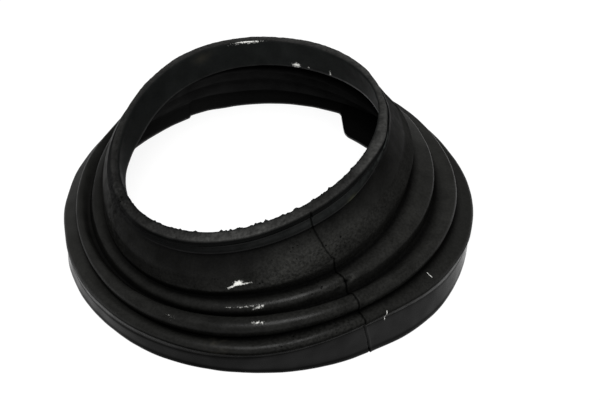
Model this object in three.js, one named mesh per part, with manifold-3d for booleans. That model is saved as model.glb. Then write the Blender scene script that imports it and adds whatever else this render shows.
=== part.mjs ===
// A driveshaft boot: one moulded rubber bellows that seals a shaft joint.
// Millimetres, +Z up. The big end lies on z = 0 and its centre is the origin. The boot has taken a
// set in use: its collar leans towards -X, and the folds are closed on that side and open on the other.
import * as THREE from "three";
import { mergeVertices } from "three/addons/utils/BufferGeometryUtils.js";
import Module from "manifold-3d";

// Big end: a plain skirt that a band clamps
const SKIRT_DIAMETER = 129;
const SKIRT_HEIGHT = 6; // from the bottom edge to the crease under the flange
const SKIRT_WALL = 3.1;
const SKIRT_LOBE = 1.1; // how far three gentle lobes push the skirt out of round
const LOBE_BEARING = 94; // of one of them, degrees from +X
const SKIRT_OVAL = 0.45;
const OVAL_BEARING = 80;
const EDGE_ROUND = 0.8; // of the free edges of the skirt
const CREASE_DEPTH = 1; // of the step between the skirt and the flange
const FLANGE_RISE = 2.6; // from the crease up to the widest line of the flange
const FLANGE_OVERHANG = 0.8; // of the flange past the skirt
const HOLLOW_DEPTH = 0.4; // of the groove behind the flange, on the inside

// Folds. A step is how much nearer the axis the next crest lies, and a rise how much higher.
const OUTER_STEP = 5.1;
const OUTER_RISE = 8.7;
const MIDDLE_STEP = 7;
const MIDDLE_RISE = 4.6;
const INNER_STEP = 3.1;
const INNER_RISE = 5.6;
const FOLD_WALL = 3.4; // of the bellows, square to the cone of the crests
const VALLEY_ROUND = 0.9;
const INSIDE_ROUND = 1.5; // of the folds on the inside
const SHUT_VALLEY_ROUND = 2; // of the middle valley on the left, where it is wide and hollow
const FLANGE_ROUND = 2;

// The bearings at which the folds are given, in degrees from +X
const RIGHT = 25; // stretched
const FAR = 120;
const LEFT = 185; // squeezed
const FRONT = 255;
const SEAM = 300;

// From each crest to the bottom of the valley under it, outwards and up
const OUTER_VALLEY = [
  { bearing: RIGHT, out: -0.1, up: -5 },
  { bearing: FAR, out: -0.4, up: -5.3 },
  { bearing: LEFT, out: -0.3, up: -4.4 },
  { bearing: FRONT, out: -0.3, up: -6.1 },
  { bearing: SEAM, out: -0.6, up: -4.6 },
];
const MIDDLE_VALLEY = [
  { bearing: RIGHT, out: -0.2, up: -4.2 },
  { bearing: FAR, out: 1, up: -3.8 },
  { bearing: LEFT, out: 3, up: -5.2 },
  { bearing: FRONT, out: 0.9, up: -4.3 },
  { bearing: SEAM, out: 1, up: -3.5 },
];
const INNER_VALLEY = [
  { bearing: RIGHT, out: -0.9, up: -4 },
  { bearing: FAR, out: -1.6, up: -2.4 },
  { bearing: LEFT, out: 0.9, up: -3.8 },
  { bearing: FRONT, out: -0.7, up: -2.6 },
  { bearing: SEAM, out: -1, up: -3.4 },
];

// The radius of each roll. Its crest lies round it, so many degrees above the way outwards.
const CREST_ANGLE = 60;
const OUTER_ROLL = [
  { bearing: RIGHT, radius: 0.8 },
  { bearing: FAR, radius: 1.2 },
  { bearing: LEFT, radius: 1.3 },
  { bearing: FRONT, radius: 3 },
];
const MIDDLE_ROLL = [
  { bearing: RIGHT, radius: 0.8 },
  { bearing: FAR, radius: 1.4 },
  { bearing: LEFT, radius: 1.6 },
  { bearing: FRONT, radius: 2.6 },
];
const INNER_ROLL = [
  { bearing: RIGHT, radius: 0.8, crest: 45 },
  { bearing: FAR, radius: 1.4, crest: CREST_ANGLE },
  { bearing: LEFT, radius: 1.6, crest: CREST_ANGLE },
  { bearing: FRONT, radius: 1, crest: 0 },
];

// Small end: a neck, a clamp groove and a sealing collar
const NECK_HEIGHT = 8.8; // from the innermost crest up to the rib under the groove
const NECK_FULLNESS = 0.9; // how far the neck swells past a straight cone where it isn't stretched
const NECK_ROUND = 9;
const RIB_DIAMETER = 90.6;
const RIB_WIDTH = 0.8;
const RIB_LEDGE = 0.4; // how far the rib stands out
const RIB_RELIEF = 0.2; // how far the neck is cut back under it
const COLLAR_RISE = 3.9; // from the rib up to the outer edge of the end face
const COLLAR_DIAMETER = 88;
const COLLAR_BORE = 82;
const LIP_THICKNESS = 1.9; // of the edge above the groove
const GROOVE_DEPTH = 0.4;
const GROOVE_ROOM = 3.6; // from the rib to the lip, where the groove has its full section
const LIP_SLOPE = 0.9; // how far the end face falls from its inner to its outer edge
const LIP_ROUND = 0.3;
const SEAL_LENGTH = 10.7; // of the sealing bore, along the collar's own axis
const SEAL_STEP = 3.2; // from the bore out to the wall below it

// The set that the boot has taken, in degrees and millimetres
const STRETCH_BEARING = RIGHT;
const SQUEEZE_SPREAD = 35; // degrees to either side of LEFT
const MIDDLE_BULGE = 0.8; // how far the middle crest is pushed out there
const INNER_PULL = 2.2; // how far the innermost crest is pushed in there
const COLLAR_LEAN = 12.1; // towards -X
const COLLAR_PITCH = 3.4; // towards -Y
const COLLAR_SHIFT = 5.4; // towards -X
const COLLAR_RIPPLE = 0.6; // of three low waves round the collar
const RIPPLE_BEARING = 17; // of one of their tops, degrees from +X
const RIB_LEAN = 9;
const RIB_PITCH = 3.7;
const RIB_SHIFT = 4.9;
const INNER_LEAN = 7.7;
const INNER_PITCH = 5.8;
const INNER_SHIFT = 3.9;
const INNER_SADDLE = 0.2;
const MIDDLE_LEAN = 3.9;
const MIDDLE_PITCH = 4.1;
const MIDDLE_SHIFT = 0.5;
const OUTER_LEAN = 1.5;
const OUTER_PITCH = 0.4;
const OUTER_SHIFT = 0.2;
const FLANGE_LEAN = 0.5;
const TWIST = 2.6; // two opposite quarters lie this much lower, the two between them higher
const FLANGE_TWIST = 0.5;
const SADDLE = 0.9; // the left and right lie this much lower, the front and back higher
const SWELL_RISE = 3.8; // how far the flange is drawn up near the parting seam
const SWELL_PULL = 1.8; // how far it is drawn towards the axis there
const SWELL_BEARING = -58;
const SWELL_SPREAD = 26; // degrees to either side

// Locating lug inside the big end
const LUG_BEARING = 46; // degrees from +X
const LUG_WIDTH = 26.4; // of the flat face
const LUG_FACE = 51.3; // from the axis to the flat face
const LUG_HEIGHT = 7.4;
const LUG_FLARE = 48; // of its flanks, degrees from the way outwards
const LUG_CORNER = 4;

// Fineness of the mesh
const AROUND = 72;
const ROUND_STEPS = 3;
const ROLL_STEPS = 6;
const FLANGE_STEPS = 4;
const VALLEY_STEPS = 2;
const NECK_STEPS = 4;
const INSIDE_STEPS = 2;
const CHAMFER_STEPS = 1; // a round so small that one flat stands in for it
const LUG_CORNER_STEPS = 6;
const LUG_BACK_STEPS = 4;
const CORNER_REACH = 0.4; // the share of its shorter side that the round of a corner may take up
const ROLL_REACH = 0.97; // the most that a roll may fill the way to its neighbour

const RUBBER = 0x1b1c1c;
const rad = THREE.MathUtils.degToRad;

// The difference between two bearings, between -180 and 180 degrees, in radians.
const bearingBetween = (t, degrees) => {
  const turn = t - rad(degrees);
  return Math.atan2(Math.sin(turn), Math.cos(turn));
};

// A smooth hump: 1 at its own bearing and almost 0 at twice the spread.
const hump = (t, degrees, spread) => Math.exp(-((bearingBetween(t, degrees) / rad(spread)) ** 2));

// A value given at some bearings, in the order of the list, and smooth between them.
function between(keys, name, t) {
  const turn = (from, to) => THREE.MathUtils.euclideanModulo(to - from, 2 * Math.PI);
  const i = keys.findIndex(({ bearing }, k) => {
    const next = keys[(k + 1) % keys.length].bearing;
    return turn(rad(bearing), t) <= turn(rad(bearing), rad(next));
  });
  const [low, high] = [keys[i], keys[(i + 1) % keys.length]];
  const share = turn(rad(low.bearing), t) / turn(rad(low.bearing), rad(high.bearing));
  return THREE.MathUtils.lerp(low[name], high[name], THREE.MathUtils.smoothstep(share, 0, 1));
}

const UNSET = { shift: 0, lean: 0, pitch: 0, twist: TWIST, saddle: SADDLE, ripple: 0 };

// One line round the boot: a circle that has been shifted, tilted and a little warped.
function ring(radius, height, set) {
  const { shift, lean, pitch, twist, saddle, ripple } = { ...UNSET, ...set };
  return (t) => {
    const foreshortening = (1 - Math.cos(rad(lean))) * Math.cos(t) ** 2;
    const r = radius * (1 - foreshortening) - shift * Math.cos(t);
    const tilt = Math.sin(rad(lean)) * Math.cos(t) + Math.sin(rad(pitch)) * Math.sin(t);
    const warp = -twist * Math.sin(2 * t) - saddle * Math.cos(2 * t);
    const wave = ripple * Math.cos(3 * (t - rad(RIPPLE_BEARING)));
    return new THREE.Vector2(r, height + radius * tilt + warp + wave);
  };
}

// A line on the flange, which is drawn up and in near the parting seam.
function flangeLine(radius, height) {
  const line = ring(radius, height, { lean: FLANGE_LEAN, twist: FLANGE_TWIST });
  return (t) => {
    const swell = hump(t, SWELL_BEARING, SWELL_SPREAD);
    return line(t).add(new THREE.Vector2(-SWELL_PULL * swell, SWELL_RISE * swell));
  };
}

// The rings, from the big end up. Each starts from the one before it.
const skirtRadius = SKIRT_DIAMETER / 2;
const flangeRadius = skirtRadius + FLANGE_OVERHANG;
const flangeHeight = SKIRT_HEIGHT + FLANGE_RISE;
const outerRadius = flangeRadius - OUTER_STEP;
const outerHeight = flangeHeight + OUTER_RISE;
const middleRadius = outerRadius - MIDDLE_STEP;
const middleHeight = outerHeight + MIDDLE_RISE;
const innerRadius = middleRadius - INNER_STEP;
const innerHeight = middleHeight + INNER_RISE;
const ribHeight = innerHeight + NECK_HEIGHT;
const collarHeight = ribHeight + COLLAR_RISE;

const creaseLine = flangeLine(skirtRadius, SKIRT_HEIGHT);
const flangeCrest = flangeLine(flangeRadius, flangeHeight);
const outerCrest = ring(outerRadius, outerHeight, {
  shift: OUTER_SHIFT,
  lean: OUTER_LEAN,
  pitch: OUTER_PITCH,
});
const middleCrest = ring(middleRadius, middleHeight, {
  shift: MIDDLE_SHIFT,
  lean: MIDDLE_LEAN,
  pitch: MIDDLE_PITCH,
});
const innerCrest = ring(innerRadius, innerHeight, {
  shift: INNER_SHIFT,
  lean: INNER_LEAN,
  pitch: INNER_PITCH,
  saddle: INNER_SADDLE,
});
const ribRing = ring(RIB_DIAMETER / 2, ribHeight, {
  shift: RIB_SHIFT,
  lean: RIB_LEAN,
  pitch: RIB_PITCH,
});

// A line on the collar: a circle round its leaning axis, so far above the outer edge of the end face.
function collarRing(radius, above) {
  return ring(radius, collarHeight + above * Math.cos(rad(COLLAR_LEAN)), {
    shift: COLLAR_SHIFT + above * Math.sin(rad(COLLAR_LEAN)),
    lean: COLLAR_LEAN,
    pitch: COLLAR_PITCH,
    ripple: COLLAR_RIPPLE,
  });
}
const lipOuter = collarRing(COLLAR_DIAMETER / 2, 0);
const lipInner = collarRing(COLLAR_BORE / 2, LIP_SLOPE);
const sealBottom = collarRing(COLLAR_BORE / 2, LIP_SLOPE - SEAL_LENGTH);
const sealShoulder = collarRing(COLLAR_BORE / 2 + SEAL_STEP, LIP_SLOPE - SEAL_LENGTH);

// The unit vector from one point of a section to another, and the one square to it, to its left.
const along = (from, to) => to.clone().sub(from).normalize();
const leftOf = (v) => new THREE.Vector2(-v.y, v.x);
const offset = (p, ...moves) => {
  const q = p.clone();
  for (const [v, length] of moves) q.addScaledVector(v, length);
  return q;
};

const corner = (at, round = 0, steps = ROUND_STEPS) => ({ at, round, steps });

// The bottom of the valley under a crest, at the bearing t.
function valley(crest, keys, t, round = VALLEY_ROUND) {
  const drop = new THREE.Vector2(between(keys, "out", t), between(keys, "up", t));
  return corner(crest.clone().add(drop), round, VALLEY_STEPS);
}

// A round fold, given by its centre and its radius, so that its surface passes through its crest.
function roll(crest, degrees, radius, steps = ROLL_STEPS) {
  const way = new THREE.Vector2(Math.cos(rad(degrees)), Math.sin(rad(degrees)));
  return { at: offset(crest, [way, -radius]), radius, steps };
}

// The corners of the section at the bearing t, up the outside and down the inside.
function sectionCorners(t) {
  const lobes = SKIRT_LOBE * Math.cos(3 * (t - rad(LOBE_BEARING)));
  const oval = SKIRT_OVAL * Math.cos(2 * (t - rad(OVAL_BEARING)));
  const skirt = skirtRadius + lobes + oval;
  const crease = creaseLine(t);
  crease.x += (lobes + oval) / 2;
  const flange = flangeCrest(t);
  const outer = outerCrest(t);
  const middle = middleCrest(t);
  const inner = innerCrest(t);
  middle.x += MIDDLE_BULGE * hump(t, LEFT, SQUEEZE_SPREAD);
  inner.x -= INNER_PULL * hump(t, LEFT, SQUEEZE_SPREAD);
  const rib = ribRing(t);
  const lip = lipOuter(t);
  const hollow = THREE.MathUtils.lerp(
    VALLEY_ROUND,
    SHUT_VALLEY_ROUND,
    hump(t, LEFT, SQUEEZE_SPREAD),
  );
  const outerValley = valley(outer, OUTER_VALLEY, t);
  const middleValley = valley(middle, MIDDLE_VALLEY, t, hollow);
  const innerValley = valley(inner, INNER_VALLEY, t);

  // The neck, between the innermost crest and the rib, swells halfway, but not where it is stretched.
  const stretched = (1 + Math.cos(bearingBetween(t, STRETCH_BEARING))) / 2;
  const neckWay = along(inner, rib);
  const fullness = NECK_FULLNESS * (1 - stretched);
  const neck = offset(inner.clone().lerp(rib, 0.5), [leftOf(neckWay), -fullness]);

  // The groove lies between the rib and the underside of the lip. It closes up where they draw near.
  const grooveWay = along(rib, lip);
  const inwards = leftOf(grooveWay);
  const squeeze = Math.min(1, rib.distanceTo(lip) / GROOVE_ROOM);
  const [up, out] = [grooveWay.multiplyScalar(squeeze), inwards.multiplyScalar(-squeeze)];
  const ribRoot = offset(rib, [out, -RIB_RELIEF]);
  const ribLow = offset(rib, [up, RIB_WIDTH / 2], [out, RIB_LEDGE]);
  const ribHigh = offset(rib, [up, RIB_WIDTH], [out, RIB_LEDGE]);
  const lipBottom = offset(lip, [up, -LIP_THICKNESS]);
  const floorHigh = offset(lipBottom, [up, -GROOVE_DEPTH / 2], [out, -GROOVE_DEPTH]);

  // Inside, the folds repeat one wall behind, square to the cone from the inner crest to the flange.
  const behind = leftOf(along(inner, flange)).multiplyScalar(-FOLD_WALL);
  const inside = (p) => p.clone().add(behind);
  const creaseInside = crease.x - SKIRT_WALL;

  return [
    corner(new THREE.Vector2(skirt, 0), EDGE_ROUND),
    corner(new THREE.Vector2(crease.x, crease.y - CREASE_DEPTH), EDGE_ROUND, INSIDE_STEPS),
    corner(new THREE.Vector2(crease.x - CREASE_DEPTH, crease.y)),
    roll(flange, 0, FLANGE_ROUND, FLANGE_STEPS),
    outerValley,
    roll(outer, CREST_ANGLE, between(OUTER_ROLL, "radius", t)),
    middleValley,
    roll(middle, CREST_ANGLE, between(MIDDLE_ROLL, "radius", t)),
    innerValley,
    roll(inner, between(INNER_ROLL, "crest", t), between(INNER_ROLL, "radius", t)),
    corner(neck, NECK_ROUND, NECK_STEPS),
    corner(ribRoot),
    corner(ribLow),
    corner(ribHigh),
    corner(floorHigh),
    corner(lipBottom),
    corner(lip, LIP_ROUND, CHAMFER_STEPS),
    corner(lipInner(t), LIP_ROUND, CHAMFER_STEPS),
    corner(sealBottom(t)),
    corner(sealShoulder(t)),
    corner(inside(inner), INSIDE_ROUND, INSIDE_STEPS),
    corner(inside(innerValley.at), INSIDE_ROUND, INSIDE_STEPS),
    corner(inside(middle), INSIDE_ROUND, INSIDE_STEPS),
    corner(inside(middleValley.at), INSIDE_ROUND, INSIDE_STEPS),
    corner(inside(outer), INSIDE_ROUND, INSIDE_STEPS),
    corner(inside(outerValley.at), INSIDE_ROUND, INSIDE_STEPS),
    corner(new THREE.Vector2(creaseInside + HOLLOW_DEPTH, crease.y)),
    corner(new THREE.Vector2(creaseInside, crease.y - SKIRT_WALL / 2)),
    corner(new THREE.Vector2(skirt - SKIRT_WALL, 0), EDGE_ROUND, CHAMFER_STEPS),
  ];
}

// The points of one corner, rounded by an arc that touches both of its sides.
function roundedCorner(before, { at, round, steps }, after) {
  if (!round) return [at];
  const back = along(at, before);
  const on = along(at, after);
  const half = Math.acos(THREE.MathUtils.clamp(back.dot(on), -1, 1)) / 2;
  const longest = CORNER_REACH * Math.min(at.distanceTo(before), at.distanceTo(after));
  const touch = Math.min(round / Math.tan(half), longest);
  const radius = touch * Math.tan(half);
  const bisector = back.clone().add(on).normalize();
  const centre = offset(at, [bisector, radius / Math.sin(half)]);
  const first = offset(at, [back, touch]).sub(centre);
  const sweep = (Math.PI - 2 * half) * Math.sign(back.cross(on)) * -1;
  const points = [];
  for (let i = 0; i <= steps; i++) {
    points.push(first.clone().rotateAround(new THREE.Vector2(), (sweep * i) / steps).add(centre));
  }
  return points;
}

// The points of one roll: the arc between the straight sides that come from its neighbours and touch it.
function rolledFold(before, { at, radius, steps }, after) {
  const low = before.clone().sub(at);
  const high = after.clone().sub(at);
  const r = Math.min(radius, ROLL_REACH * low.length(), ROLL_REACH * high.length());
  const start = low.angle() + Math.acos(r / low.length());
  const end = high.angle() - Math.acos(r / high.length());
  const sweep = THREE.MathUtils.euclideanModulo(end - start, 2 * Math.PI);
  const points = [];
  for (let i = 0; i <= steps; i++) {
    const a = start + (sweep * i) / steps;
    points.push(offset(at, [new THREE.Vector2(Math.cos(a), Math.sin(a)), r]));
  }
  return points;
}

function sectionOutline(t) {
  const corners = sectionCorners(t);
  const next = (i) => (i + 1) % corners.length;
  const rolls = corners.map((c, i) =>
    c.radius ? rolledFold(corners.at(i - 1).at, c, corners[next(i)].at) : null,
  );
  return corners.flatMap((c, i) => {
    const before = rolls.at(i - 1)?.at(-1) ?? corners.at(i - 1).at;
    const after = rolls[next(i)]?.at(0) ?? corners[next(i)].at;
    return rolls[i] ?? roundedCorner(before, c, after);
  });
}

// The sections, set round the axis and joined into one closed skin.
function bellowsGeometry() {
  const positions = [];
  const index = [];
  let count = 0;
  for (let k = 0; k < AROUND; k++) {
    const t = (2 * Math.PI * k) / AROUND;
    const outline = sectionOutline(t);
    count = outline.length;
    for (const p of outline) positions.push(p.x * Math.cos(t), p.x * Math.sin(t), p.y);
  }
  for (let k = 0; k < AROUND; k++) {
    const here = k * count;
    const next = ((k + 1) % AROUND) * count;
    for (let i = 0; i < count; i++) {
      const j = (i + 1) % count;
      index.push(here + i, next + i, next + j, here + i, next + j, here + j);
    }
  }
  return new THREE.BufferGeometry()
    .setAttribute("position", new THREE.Float32BufferAttribute(positions, 3))
    .setIndex(index);
}

// The lug: a flat face across the inside of the skirt, and flanks that flare out into its wall.
function lugGeometry() {
  const buried = skirtRadius - SKIRT_WALL / 2; // how far the lug reaches into the skirt's wall
  const face = new THREE.Vector2(LUG_FACE, LUG_WIDTH / 2);
  const flank = new THREE.Vector2(Math.cos(rad(LUG_FLARE)), Math.sin(rad(LUG_FLARE)));
  const b = face.dot(flank);
  const end = offset(face, [flank, Math.sqrt(b * b + buried ** 2 - face.lengthSq()) - b]);
  const outline = roundedCorner(
    new THREE.Vector2(LUG_FACE, 0),
    corner(face, LUG_CORNER, LUG_CORNER_STEPS),
    end,
  );
  for (let i = 0; i < LUG_BACK_STEPS; i++) {
    const a = end.angle() * (1 - i / LUG_BACK_STEPS);
    outline.push(new THREE.Vector2(buried * Math.cos(a), buried * Math.sin(a)));
  }
  const mirrored = outline.map((p) => new THREE.Vector2(p.x, -p.y)).reverse();
  const shape = new THREE.Shape([...outline, new THREE.Vector2(buried, 0), ...mirrored]);
  return new THREE.ExtrudeGeometry(shape, { depth: LUG_HEIGHT, bevelEnabled: false }).rotateZ(
    rad(LUG_BEARING),
  );
}

const wasm = await Module();
wasm.setup();

function solid(geometry) {
  const bare = new THREE.BufferGeometry().setAttribute("position", geometry.getAttribute("position"));
  if (geometry.index) bare.setIndex(geometry.index);
  const merged = mergeVertices(bare, 1e-4);
  return new wasm.Manifold(
    new wasm.Mesh({
      numProp: 3,
      vertProperties: merged.getAttribute("position").array,
      triVerts: new Uint32Array(merged.index.array),
    }),
  );
}

function geometryOf(manifold) {
  const { vertProperties, triVerts } = manifold.getMesh();
  return new THREE.BufferGeometry()
    .setAttribute("position", new THREE.BufferAttribute(vertProperties, 3))
    .setIndex(new THREE.BufferAttribute(triVerts, 1));
}

const boot = new THREE.Mesh(
  geometryOf(solid(bellowsGeometry()).add(solid(lugGeometry()))),
  new THREE.MeshStandardMaterial({ color: RUBBER, roughness: 0.6, metalness: 0 }),
);
boot.name = "driveshaft_boot";

const part = new THREE.Group();
part.add(boot);
export default part;
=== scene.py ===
# %% [markdown]
# # A rubber boot for a driveshaft
#
# The real object is one piece of black rubber, pressed in a mould. A wide skirt is clamped round one
# housing, a narrow collar round the next, and the folds between them let the joint inside bend.
# This one is used: it has taken a set, its lip was trimmed by hand, and dust sits in its folds.
#
# The lesson builds that one piece. The solid model gives its place and its size. A finer skin with the
# marks of moulding and use stands in for it, because a photograph shows more than a solid model holds.

# %% Load the fixed frame
import math

import bpy
import numpy as np
from mathutils import Matrix, Vector, noise


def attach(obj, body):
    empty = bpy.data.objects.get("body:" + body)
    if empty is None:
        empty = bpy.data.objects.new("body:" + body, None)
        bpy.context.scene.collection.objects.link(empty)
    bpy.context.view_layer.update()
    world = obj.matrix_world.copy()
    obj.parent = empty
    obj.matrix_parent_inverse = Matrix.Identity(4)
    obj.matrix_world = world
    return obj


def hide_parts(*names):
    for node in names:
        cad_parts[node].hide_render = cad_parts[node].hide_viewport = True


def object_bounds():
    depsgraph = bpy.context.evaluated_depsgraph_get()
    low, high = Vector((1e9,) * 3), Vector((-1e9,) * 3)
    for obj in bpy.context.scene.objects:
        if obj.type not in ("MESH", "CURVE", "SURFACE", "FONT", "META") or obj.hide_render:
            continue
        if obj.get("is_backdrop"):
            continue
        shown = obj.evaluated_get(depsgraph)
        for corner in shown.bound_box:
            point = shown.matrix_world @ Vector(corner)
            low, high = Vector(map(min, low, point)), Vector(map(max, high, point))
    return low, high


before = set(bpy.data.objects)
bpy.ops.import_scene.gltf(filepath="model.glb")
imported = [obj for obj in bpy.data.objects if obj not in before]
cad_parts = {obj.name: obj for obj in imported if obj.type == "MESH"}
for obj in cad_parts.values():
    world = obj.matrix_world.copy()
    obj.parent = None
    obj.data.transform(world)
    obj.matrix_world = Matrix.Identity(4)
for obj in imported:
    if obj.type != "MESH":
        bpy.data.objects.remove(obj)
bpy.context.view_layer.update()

# %% [markdown]
# ## The camera
#
# The photograph looks down on the boot at a little over 40 degrees, through a long lens, so the far
# side is hardly smaller than the near one. The boot doesn't sit in the middle of the picture, so the
# camera is moved sideways and up in its own plane, and no lens shift is needed. Lengths in this lesson
# are millimetres until a mesh is made, because that is how such a part is drawn.

# %% Place the camera
MM = 0.001
CAMERA_ELEVATION = 42.34
CAMERA_ROLL = -0.58
CAMERA_DISTANCE = 499.2
CAMERA_RIGHT = 10.45
CAMERA_UP = 8.24
CAMERA_LENS = 92.02

elevation = math.radians(CAMERA_ELEVATION)
back = Vector((0, -math.cos(elevation), math.sin(elevation)))
turn = Matrix.Rotation(math.radians(CAMERA_ROLL), 3, back)
right = turn @ Vector((1, 0, 0))
up = turn @ Vector((0, math.sin(elevation), math.cos(elevation)))
camera = bpy.data.objects.new("camera", bpy.data.cameras.new("camera"))
camera.data.lens = CAMERA_LENS
place = (right * CAMERA_RIGHT + up * CAMERA_UP + back * CAMERA_DISTANCE) * MM
camera.matrix_world = Matrix.Translation(place) @ Matrix((right, up, back)).transposed().to_4x4()
bpy.context.scene.collection.objects.link(camera)
bpy.context.scene.camera = camera
print("camera at", tuple(round(v, 4) for v in place))

# %% [markdown]
# ## Bearings and points
#
# The boot is drawn as a round of sections. A section is the outline that a knife would show if it cut
# the wall along one bearing, and it is written as a distance from the axis and a height. Here each
# corner of the section is found for all bearings at once. The bearings lie closer together beside the
# parting seam, because the seam is a fine thing and a coarse mesh would lose it.

# %% Choose the bearings
STEP = 0.5
SEAM_STEP = 0.12
SEAM_REACH = 6.5
SEAM_BEARING = -66

HAIR_BEARINGS = (-56.0, -37.0)
HAIR_REACH = 1.5
fine_parts = [(SEAM_BEARING, SEAM_REACH)] + [(hair, HAIR_REACH) for hair in HAIR_BEARINGS]
DEGREES = np.arange(-180, 180, STEP)
for middle_of_it, reach in fine_parts:
    DEGREES = DEGREES[np.abs(DEGREES - middle_of_it) > reach + SEAM_STEP / 2]
    DEGREES = np.append(DEGREES, middle_of_it + np.arange(-reach, reach, SEAM_STEP))
DEGREES = np.sort(DEGREES)
BEARING = np.radians(DEGREES)


def off_bearing(degrees):
    """How far each bearing lies from the given one, from -180 to 180 degrees."""
    return (DEGREES - degrees + 180) % 360 - 180


def bump_at(degrees, spread):
    """A smooth hump round one bearing: 1 there, and almost 0 at twice the spread."""
    return np.exp(-((off_bearing(degrees) / spread) ** 2))


def smoothstep(x):
    """A soft step from 0 to 1."""
    x = np.clip(x, 0, 1)
    return x * x * (3 - 2 * x)


def around(keys):
    """A value, or an offset, that changes smoothly round the boot between the bearings where it is given."""
    at = sorted(keys)
    first = np.asarray(keys[at[0]], float)
    result = np.zeros((len(DEGREES),) + first.shape)
    for low, high in zip(at, at[1:] + [at[0] + 360]):
        share = (DEGREES - low) % 360 / (high - low)
        inside = share <= 1
        mix = smoothstep(share[inside]).reshape((-1,) + (1,) * first.ndim)
        end = np.asarray(keys[high if high in keys else at[0]], float)
        result[inside] = np.asarray(keys[low], float) * (1 - mix) + end * mix
    return result


print(len(BEARING), "bearings")

# %% Draw one line round the boot
TWIST = 2.6
SADDLE = 0.9
RIPPLE_BEARING = 17


def ring(radius, height, shift=0, lean=0, pitch=0, twist=TWIST, saddle=SADDLE, ripple=0):
    """A circle that has been shifted and leans to the left, pitches to the front and is a little warped."""
    lean, pitch = math.radians(lean), math.radians(pitch)
    across, deep = np.cos(BEARING), np.sin(BEARING)
    r = radius * (1 - (1 - math.cos(lean)) * across**2) - shift * across
    tilt = math.sin(lean) * across + math.sin(pitch) * deep
    warp = -twist * np.sin(2 * BEARING) - saddle * np.cos(2 * BEARING)
    wave = ripple * np.cos(3 * (BEARING - math.radians(RIPPLE_BEARING)))
    return np.stack([r, height + radius * tilt + warp + wave], axis=1)


def unit(v):
    """The directions of vectors, each of length 1."""
    return v / np.maximum(np.linalg.norm(v, axis=1, keepdims=True), 1e-9)


def left_of(v):
    """The vectors turned a quarter to the left."""
    return np.stack([-v[:, 1], v[:, 0]], axis=1)


def column(values):
    """One value for each bearing, standing upright, so that it multiplies points."""
    return np.broadcast_to(values, len(BEARING)).reshape(-1, 1)


def point(r, z):
    """A point of the section at every bearing, from its distance to the axis and its height."""
    return np.stack([np.broadcast_to(r, len(BEARING)), np.broadcast_to(z, len(BEARING))], axis=1)


print("a level ring has", len(ring(SEAM_REACH, 0)), "points")

# %% [markdown]
# ## The rings of the bellows
#
# A bellows is easiest to think of as a stack of rings: the crests of its folds, the rib under the clamp
# groove, and the edges of the collar. A new boot has them all level. This one has been bent for years, so
# each ring leans and shifts a little more than the one below it, and the folds are shut on the left and
# stretched flat on the right. Most sizes are those of the solid model. Some lines, valleys and rounds
# were set again with the picture laid over the photograph, so the skin lies up to about 2 mm from the
# surface of the solid.

# %% Stack the rings
LEFT, FRONT, SEAM_SIDE, RIGHT, FAR = 185, -105, -60, 25, 120
SKIRT_RADIUS = 64.5
SKIRT_HEIGHT = 6
SKIRT_WALL = 3.1
FLANGE_RISE = 2.6
FLANGE_OVERHANG = 0.8
FLANGE_LEAN = 0.5
FLANGE_TWIST = 0.5
OUTER_STEP, OUTER_RISE = 5.1, 8.7
MIDDLE_STEP, MIDDLE_RISE = 7, 4.6
INNER_STEP, INNER_RISE = 3.1, 5.6
NECK_HEIGHT = 8.8
RIB_DIAMETER = 90.6
COLLAR_RISE = 3.9
COLLAR_DIAMETER = 88
COLLAR_BORE = 82
SQUEEZE_SPREAD = 35
MIDDLE_BULGE = 1.2
INNER_PULL = 2.2
SWELL_BEARING = -58
SWELL_SPREAD = 26
SWELL_RISE = 3.8
SWELL_PULL = 1.8


def flange_line(radius, height):
    """A line on the flange, which is drawn up and in beside the parting seam."""
    line = ring(radius, height, lean=FLANGE_LEAN, twist=FLANGE_TWIST)
    return line + column(bump_at(SWELL_BEARING, SWELL_SPREAD)) * np.array([-SWELL_PULL, SWELL_RISE])


flange_radius = SKIRT_RADIUS + FLANGE_OVERHANG
flange_height = SKIRT_HEIGHT + FLANGE_RISE
outer_radius, outer_height = flange_radius - OUTER_STEP, flange_height + OUTER_RISE
middle_radius, middle_height = outer_radius - MIDDLE_STEP, outer_height + MIDDLE_RISE
inner_radius, inner_height = middle_radius - INNER_STEP, middle_height + INNER_RISE
rib_radius, rib_height = RIB_DIAMETER / 2, inner_height + NECK_HEIGHT
collar_radius, collar_height = COLLAR_DIAMETER / 2, rib_height + COLLAR_RISE
bore_radius = COLLAR_BORE / 2

crease = flange_line(SKIRT_RADIUS, SKIRT_HEIGHT)
flange = flange_line(flange_radius, flange_height)
flange[:, 0] += around({-168: -0.25, -150: 0, -42: 0, -27: -0.2, -12: 0.5, 5: 1.0, 25: 0.5, 55: 0.3,
                        90: 0, 165: 0.4, 178: 0.2})
outer = ring(outer_radius, outer_height, shift=0.2, lean=1.5, pitch=0.4)
middle = ring(middle_radius, middle_height, shift=0.5, lean=3.9, pitch=4.1)
inner = ring(inner_radius, inner_height, shift=3.9, lean=7.7, pitch=5.8, saddle=0.2)
outer[:, 0] += 0.9 * bump_at(42, 16) - 1.3 * bump_at(151, 12)
squeezed = bump_at(LEFT, SQUEEZE_SPREAD)
middle[:, 0] += MIDDLE_BULGE * squeezed
inner[:, 0] -= INNER_PULL * squeezed
rib = ring(rib_radius, rib_height, shift=4.9, lean=9, pitch=3.7)
print("rings from", round(flange_height, 1), "to", round(collar_height, 1), "mm up")

# %% Set the collar on its own leaning axis
COLLAR_LEAN = 12.1
COLLAR_PITCH = 3.4
COLLAR_SHIFT = 5.4
COLLAR_RIPPLE = 0.6


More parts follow.
